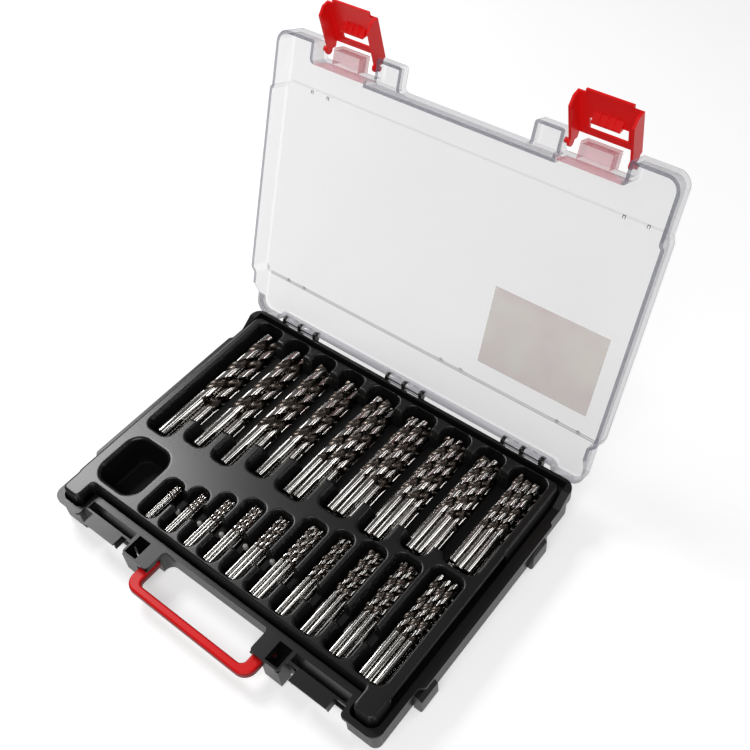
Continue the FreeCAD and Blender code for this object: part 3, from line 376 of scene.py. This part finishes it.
def tray_outline(x, y):
    """How far a point lies inside the tray's outline, with a fillet where the tips leave it."""
    main = inside(x, y, -TRAY_HALF, TRAY_HALF, TRAY_FRONT, TRAY_BACK, TRAY_CORNER)
    right = inside(x, y, TIP_FROM, TRAY_HALF, TIP_FRONT, TIP_BACK, TIP_CORNER)
    left = inside(x, y, -TRAY_HALF, -TIP_FROM, TIP_FRONT, TIP_BACK, TIP_CORNER)
    tips = np.maximum(right, left)
    mix = np.clip(0.5 + (main - tips) / (2 * TIP_FILLET), 0, 1)
    filleted = tips * (1 - mix) + main * mix + TIP_FILLET * mix * (1 - mix) * 0.8
    near = (main > -TIP_FILLET) | (tips > -TIP_FILLET)
    return np.where(near, filleted, np.maximum(main, tips))


def saddle(x, y, row, shape):
    """Height of a saddle that runs from the middle of a row's first pocket to that of its last."""
    plan, depths = shape
    first, last = ((pocket[0] + pocket[1]) / 2 for pocket in (row[0], row[-1]))
    return sunk(inside(x, y, first, last, *plan), *depths)


def tray_height(x, y):
    """Height of the tray over the plan, and how far each point lies inside its outline."""
    pockets = pocket_plans()
    back_row, front_row = pockets[:len(BACK_POCKETS)], pockets[len(BACK_POCKETS):]
    hollows = [sunk(inside(x, y, *plan), POCKET_FLOOR, lip, POCKET_WALL) for *plan, lip in pockets]
    hollows.append(sunk(inside(x, y, *SPARE), POCKET_FLOOR, SPARE_LIP, SPARE_WALL))
    slanted_y = y + np.maximum(SLANT_FROM - x, 0) * SLANT
    hollows += [saddle(x, y, back_row, BACK_SADDLE), saddle(x, slanted_y, back_row, SLANTED_SADDLE),
                saddle(x, y, front_row, FRONT_SADDLE)]
    within = tray_outline(x, y)
    t = np.clip(1 - within / RIM_ROUND, 0, 1)
    rim = TRAY_TOP - RIM_ROUND * (1 - np.sqrt(np.clip(1 - t * t, 0, 1)))
    skirt = rim - (SKIRT_WIDTH - within) / SKIRT_WIDTH * SKIRT_DROP
    hollows.append(np.where(within < SKIRT_WIDTH, skirt, rim))
    return np.clip(np.minimum.reduce(hollows), TRAY_LOW, TRAY_TOP), within


def moulded_tray():
    """The tray's upper skin: pockets, saddles, rolled lips and skirt in one sheet."""
    xs = np.arange(-TRAY_HALF, TRAY_HALF + GRID_STEP / 2, GRID_STEP)
    ys = np.arange(TIP_FRONT, TRAY_BACK + GRID_STEP / 2, GRID_STEP)
    gx, gy = np.meshgrid(xs, ys, indexing="ij")
    z, within = tray_height(gx, gy)
    index = np.arange(gx.size).reshape(gx.shape)
    keep = within > -GRID_STEP / 2
    quad = np.stack([index[:-1, :-1], index[1:, :-1], index[1:, 1:], index[:-1, 1:]], -1).reshape(-1, 4)
    good = keep.reshape(-1)[quad].all(1)
    used = np.unique(quad[good])
    remap = np.full(gx.size, -1)
    remap[used] = np.arange(len(used))
    points = np.stack([gx, gy, z], -1).reshape(-1, 3)[used] * MM
    faces = remap[quad[good]]
    # Faces deep down get the painted shade finish
    shaded_face = (points[faces][:, :, 2].mean(1) < (TRAY_TOP - PAINTED_SHADE_BELOW) * MM).astype(int)
    tray = mesh_piece("moulded_tray", points, faces, "base", [CHARCOAL, POCKET_SHADE], shaded_face, 75.0)
    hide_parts("bit_tray")


# Drill bits, in mm and degrees

# The flutes' share of half a turn, their depth by radius, the length of a turn by diameter
FLUTE_SHARE, FLUTE_DEPTH_SHARE, LEAD_SHARE = 0.56, 0.46, 5.2
# Half the point's angle, the shank's chamfer and the relieved size by radius, the run-in by diameter
POINT_HALF_ANGLE, CHAMFER_SHARE, RELIEVED_SHARE, RUN_IN_SHARE = 59, 0.14, 0.992, 0.9
ROWS_A_TURN, FEWEST_ROWS = 26, 8
# Sides of a bit's section: from which diameter, and how many; thin bits have the last
SIDES, THIN_SIDES = ((5.7, 36), (2.7, 26)), 16
BIT_YAW = 0.22


def loose_boxes(node):
    """The box of each separate solid of a CAD node, in mm."""
    mesh = nodes[node].data
    co = np.array([v.co for v in mesh.vertices]) / MM
    key, first = {}, np.arange(len(co))
    for i, p in enumerate(np.round(co, 3)):
        first[i] = key.setdefault(tuple(p), i)
    parent = np.arange(len(co))

    def root(i):
        while parent[i] != i:
            parent[i] = parent[parent[i]]
            i = parent[i]
        return i

    for i, j in enumerate(first):
        parent[root(i)] = root(j)
    for polygon in mesh.polygons:
        ring = polygon.vertices
        for a, b in zip(ring[:-1], ring[1:]):
            parent[root(a)] = root(b)
    groups = {}
    for i in range(len(co)):
        groups.setdefault(root(i), []).append(i)
    return [(co[g].min(0), co[g].max(0)) for g in groups.values()]


def section(around, radius, depth):
    """Radii round a fluted bit: two lands with a hollow flute between them, steep at its cutting side."""
    turn = np.linspace(0, 2 * math.pi, around, endpoint=False)
    across = (turn / math.pi) % 1.0 / FLUTE_SHARE
    hollow = np.sin(np.pi * np.clip(across, 0, 1) ** 0.8) ** 0.8
    return turn, radius * (1 - depth * hollow), across < 1.0


def fluted_bit(diameter, length, flute, around, turn0):
    """Points, faces and face finishes of one bit along +Y from its shank end."""
    radius, pitch = diameter / 2, diameter * LEAD_SHARE
    tip = radius / math.tan(math.radians(POINT_HALF_ANGLE))
    chamfer = radius * CHAMFER_SHARE
    start = length - flute
    rings = [(0.0, 0.0, 0.0), (0.0, radius - chamfer, 0.0), (chamfer, radius, 0.0),
             (start - diameter * 0.1, radius, 0.0)]
    count = max(int((flute - tip) / pitch * ROWS_A_TURN), FEWEST_ROWS)
    for i in range(count + 1):
        y = start + (flute - tip) * i / count
        fade = min((y - start) / (diameter * RUN_IN_SHARE), 1.0)
        rings.append((y, radius * RELIEVED_SHARE, FLUTE_DEPTH_SHARE * fade ** 0.8))
    for share in (0.35, 0.7):
        rings.append((length - tip * (1 - share), radius * (1 - share), FLUTE_DEPTH_SHARE * 0.8))
    rings.append((length, 0.0, 0.0))
    points, faces, kinds = [], [], []
    for y, r, depth in rings:
        turn, radii, hollow = section(around, max(r, radius * 0.001), depth)
        turn = turn + (turn0 + 2 * math.pi * max(y - start, 0) / pitch)
        points.append(np.stack([radii * np.cos(turn), np.full(around, y), -radii * np.sin(turn)], 1))
    for row in range(len(rings) - 1):
        plain = rings[row + 1][2] == 0.0 and rings[row][2] == 0.0
        for i in range(around):
            j = (i + 1) % around
            a, b = row * around, (row + 1) * around
            faces.append((a + i, b + i, b + j, a + j))
            kinds.append(0 if plain else (2 if hollow[i] and hollow[j] else 1))
    return np.concatenate(points), faces, kinds


def fluted_length(diameter, length):
    """How long a bit's flutes are: a third of it on the thinnest, two thirds on the thickest."""
    return (0.35 + 0.31 * min(max((diameter - 1.0) / 7.0, 0), 1) ** 0.6) * length


def bit_pile(node):
    """The fluted bits of one pocket, each in the box of its CAD solid and a little out of line."""
    points, faces, kinds, base = [], [], [], 0
    for low, high in loose_boxes(node):
        diameter, length = high[0] - low[0], high[1] - low[1]
        around = next((count for least, count in SIDES if diameter > least), THIN_SIDES)
        turn0 = dice.uniform(0, math.pi)
        p, f, k = fluted_bit(diameter, length, fluted_length(diameter, length), around, turn0)
        yaw = math.radians(dice.uniform(-1, 1) * BIT_YAW)
        p[:, 0] += (p[:, 1] - length / 2) * math.tan(yaw)
        p = p + np.array([(low[0] + high[0]) / 2, low[1], (low[2] + high[2]) / 2])
        points.append(p)
        faces += [tuple(base + i for i in face) for face in f]
        kinds += k
        base += len(p)
    pile = mesh_piece("fluted_" + node, np.concatenate(points) * MM, faces, "base",
                      [SHANK, LAND, FLUTE], kinds, 30.0)
    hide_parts(node)


# Carry handle and small fittings, in mm

HANDLE_HALF, HANDLE_ARM, HANDLE_BAR, BAR_SET_BACK = 62.3, 10.0, 7.0, 0.7
OUTER_CORNER, INNER_CORNER, ROLLED_EDGE = 10.5, 4.5, 2.0
STUD_Y, STUD_Z, STUD_RADIUS, STUD_LENGTH = -110.6, 15.5, 2.6, 6.4


def arc(cx, cy, radius, start, end, steps=10):
    """Points along an arc, from one angle to another in degrees."""
    turns = [math.radians(start + (end - start) * i / steps) for i in range(steps + 1)]
    return [(cx + radius * math.cos(a), cy + radius * math.sin(a)) for a in turns]


def mirrored(points):
    """The same line on the other side of the middle, run through backwards."""
    return [(-x, y) for x, y in reversed(points)]


def handle_outline(back, front):
    """The handle's U in plan: its outer side, then its inner side."""
    outer_y, inner_y = front + OUTER_CORNER, front + HANDLE_BAR + INNER_CORNER
    inside_arm = HANDLE_HALF - HANDLE_ARM
    outer = arc(HANDLE_HALF - OUTER_CORNER, outer_y, OUTER_CORNER, 0, -90)
    inner = arc(inside_arm - INNER_CORNER, inner_y, INNER_CORNER, -90, 0)
    return ([(HANDLE_HALF, back)] + outer + mirrored(outer) + [(-HANDLE_HALF, back), (-inside_arm, back)]
            + mirrored(inner) + inner + [(inside_arm, back)])


def rounded_handle():
    """The handle's U with rounded inner and outer corners, and its two studs."""
    low, high = ([v / MM for v in corner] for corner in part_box("carry_handle"))
    bm = bmesh.new()
    ring = [bm.verts.new((x * MM, y * MM, low[2] * MM))
            for x, y in handle_outline(high[1], low[1] + BAR_SET_BACK)]
    pad = bmesh.ops.extrude_face_region(bm, geom=[bm.faces.new(ring)])
    bmesh.ops.translate(bm, verts=[v for v in pad["geom"] if isinstance(v, bmesh.types.BMVert)],
                        vec=(0, 0, (high[2] - low[2]) * MM))
    bmesh.ops.recalc_face_normals(bm, faces=bm.faces)
    for side in (-1, 1):
        place = Matrix.Translation((side * (HANDLE_HALF - 1) * MM, STUD_Y * MM, STUD_Z * MM))
        bmesh.ops.create_cone(bm, cap_ends=True, segments=24, radius1=STUD_RADIUS * MM,
                              radius2=STUD_RADIUS * MM, depth=STUD_LENGTH * MM,
                              matrix=place @ Matrix.Rotation(math.pi / 2, 4, "Y"))
    mesh = bpy.data.meshes.new("rounded_handle")
    bm.to_mesh(mesh)
    bm.free()
    mesh.materials.append(HANDLE_RED.material)
    obj = bpy.data.objects.new("rounded_handle", mesh)
    bpy.context.scene.collection.objects.link(obj)
    soft = obj.modifiers.new("rolled_edges", "BEVEL")
    soft.width, soft.segments, soft.limit_method = ROLLED_EDGE * MM, 4, "ANGLE"
    soft.angle_limit, soft.harden_normals = math.radians(50), True
    mesh.polygons.foreach_set("use_smooth", [True] * len(mesh.polygons))
    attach(obj, "handle")
    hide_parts("carry_handle")


# Painted highlights: where the saddles of the first five front dividers catch a round spot of light
GLINT_PLACES = [(-68.3, -71.8), (-46.9, -69.5), (-26.7, -66.6), (-5.1, -63.5), (19.5, -61.0)]
# Radius and height of each highlight dome's rings, from its foot to the middle of its top
GLINT_RINGS = [(2.1, 26.05), (2.0, 28.6), (1.6, 29.2), (0.01, 29.4)]
GLINT_SIDES = 16


def divider_buttons():
    """Pale round domes in the gaps of the first five front dividers: a painted highlight on each
    divider's rounded saddle.
    """
    turns = [i * 2 * math.pi / GLINT_SIDES for i in range(GLINT_SIDES)]
    points, faces = [], []
    for x, y in GLINT_PLACES:
        base = len(points)
        for radius, z in GLINT_RINGS:
            points += [(x + radius * math.cos(a), y + radius * math.sin(a), z) for a in turns]
        for row in range(len(GLINT_RINGS) - 1):
            a, b = base + row * GLINT_SIDES, base + (row + 1) * GLINT_SIDES
            for i in range(GLINT_SIDES):
                j = (i + 1) % GLINT_SIDES
                faces.append((a + i, a + j, b + j, b + i))
    mesh_piece("divider_buttons", np.array(points) * MM, faces, "base", [SADDLE_GLINT])


# Where each small hook stands on the lid's panel lines: across, and away from the hinge
LINE_HOOKS = [(131, 198.5), (149, 198.5), (22, 31.6), (41, 31.8), (129, 31), (147, 31), (-141, 30.8),
              (-123, 30.8), (-141, 196.6), (-125, 196.6)]
HOOK_WIDTH, HOOK_HEIGHT, HOOK_WIRE, HOOK_PROUD, HOOK_SUNK = 2.2, 2.6, 0.4, 0.25, 0.05
BAR_FACES = ((0, 1, 2, 3), (7, 6, 5, 4), (4, 5, 1, 0), (5, 6, 2, 1), (6, 7, 3, 2), (7, 4, 0, 3))


def panel_out():
    """How far out from the hinge the lid plate's inner face lies."""
    inner = [face for face in nodes["clear_lid"].data.polygons if face.normal.dot(OUT) < -SQUARE_ON]
    plate = max(inner, key=lambda face: face.area)
    return (plate.center - HINGE).dot(OUT) / MM


def line_hooks():
    """The small hook-shaped moulding marks along the lid's two panel lines."""
    half, points, faces = HOOK_WIDTH / 2, [], []
    layers = (panel_out() - HOOK_PROUD, panel_out() + HOOK_SUNK)
    for x, away in LINE_HOOKS:
        top = away + HOOK_HEIGHT
        bars = [(x - half, x - half + HOOK_WIRE, away, top), (x + half - HOOK_WIRE, x + half, away, top),
                (x - half, x + half, top - HOOK_WIRE, top)]
        for x0, x1, low, high in bars:
            base = len(points)
            for out in layers:
                for px, pa in ((x0, low), (x1, low), (x1, high), (x0, high)):
                    place = HINGE / MM + AWAY * pa + OUT * out
                    points.append((px, place.y, place.z))
            faces += [tuple(base + i for i in ring) for ring in BAR_FACES]
    mesh_piece("panel_line_hooks", np.array(points) * MM, faces, "lid", [STEP_LINE])


# Camera, floor and light

# The camera's place and its right and up, found from the photo's parallel edges
PHOTO_LENS, FILM_SIDE = 48.1, 36.0
CAMERA_PLACE = (0.34444, -0.28421, 0.65456)
CAMERA_RIGHT, CAMERA_UP = (0.78046, 0.62184, -0.06484), (-0.43442, 0.61395, 0.65905)
FLOOR_HALF, FLOOR_SINK, FLOOR_LIFT = 8, 0.0001, 0.46
WORLD_LIGHT, WALL_LIFT = 0.13, 0.75
# Narrow lamps overhead that draw bright lines on the bits: lean from upright, distances, size, power
STRIP_ANGLES = (-78, 24, 66)
STRIP_AWAY, STRIP_BEHIND, STRIP_WIDTH, STRIP_LENGTH, STRIP_POWER = 1.38, 0.63, 0.10, 0.9, 1.3


def aim_camera():
    """The camera that took the photo."""
    data = bpy.data.cameras.new("photo_camera")
    data.lens, data.sensor_fit, data.clip_end = PHOTO_LENS, "AUTO", 50.0
    data.sensor_width = data.sensor_height = FILM_SIDE
    camera = bpy.data.objects.new("photo_camera", data)
    right, up = Vector(CAMERA_RIGHT), Vector(CAMERA_UP)
    turn = Matrix((right, up, right.cross(up))).transposed().to_4x4()
    camera.matrix_world = Matrix.Translation(CAMERA_PLACE) @ turn
    bpy.context.scene.collection.objects.link(camera)
    bpy.context.scene.camera = camera


def pale_floor():
    """A plain pale floor that is a little brighter to the camera, so that it runs into the wall."""
    mesh = bpy.data.meshes.new("pale_floor")
    far = FLOOR_HALF
    mesh.from_pydata([(-far, -far, 0), (far, -far, 0), (far, far, 0), (-far, far, 0)], [], [(0, 1, 2, 3)])
    floor = bpy.data.objects.new("pale_floor", mesh)
    floor.location.z = -FLOOR_SINK
    bpy.context.scene.collection.objects.link(floor)
    f = Finish("pale_floor_paper", roughness=0.9, specular_ior_level=0.0, emission_strength=FLOOR_LIFT)
    seen = f.node("LightPath", out="Is Camera Ray") + f.node("LightPath", out="Is Glossy Ray")
    f.set(base_color=f.blend(f.noise(40.0).kept(), (0.80, 0.80, 0.80), (0.83, 0.83, 0.83)),
          emission_color=seen.kept())
    mesh.materials.append(f.material)


def lamp(name, place, aim, size, power, tall=None):
    """A soft lamp in metres and watts, square unless tall is given."""
    data = bpy.data.lights.new(name, "AREA")
    data.shape, data.size, data.size_y, data.energy = "RECTANGLE", size, tall or size, power
    obj = bpy.data.objects.new(name, data)
    obj.location = place
    obj.rotation_euler = (Vector(aim) - Vector(place)).to_track_quat("-Z", "Y").to_euler()
    bpy.context.scene.collection.objects.link(obj)


def studio():
    """White light all round, two softboxes and the narrow lamps overhead."""
    world = bpy.data.worlds.new("studio")
    bpy.context.scene.world = world
    world.use_nodes = True
    back = world.node_tree.nodes["Background"]
    back.inputs["Color"].default_value = (1, 1, 1, 1)
    seen = world.node_tree.nodes.new("ShaderNodeLightPath")
    strength = world.node_tree.nodes.new("ShaderNodeMath")
    strength.operation = "MULTIPLY_ADD"
    strength.inputs[1].default_value = WALL_LIFT
    strength.inputs[2].default_value = WORLD_LIGHT
    world.node_tree.links.new(seen.outputs["Is Camera Ray"], strength.inputs[0])
    world.node_tree.links.new(strength.outputs[0], back.inputs["Strength"])
    lamp("left_softbox", (-1.12, 0.24, 1.2), (0, 0, 0), size=0.5, power=10.5)
    lamp("front_softbox", (0.5, -0.95, 1.4), (0, 0, 0.05), size=1.1, power=12.5)
    for number, degrees in enumerate(STRIP_ANGLES):
        turn = math.radians(degrees)
        place = (math.sin(turn) * STRIP_AWAY, STRIP_BEHIND, math.cos(turn) * STRIP_AWAY)
        lamp("strip_%d" % number, place, (0, 0, 0), STRIP_WIDTH, STRIP_POWER, STRIP_LENGTH)
    bpy.context.scene.view_settings.view_transform = "Standard"


moulded_tray()
for bits in sorted(n for n in nodes if n.startswith("drill_bits")):
    bit_pile(bits)
dress("base_shell", BLACK, bevel=0.35)
dress_lid()
dress("latch_left", RED, bevel=0.3)
dress("latch_right", RED, bevel=0.3)
rounded_handle()
divider_buttons()
line_hooks()
dress("lid_label", LABEL)
aim_camera()
pale_floor()
studio()
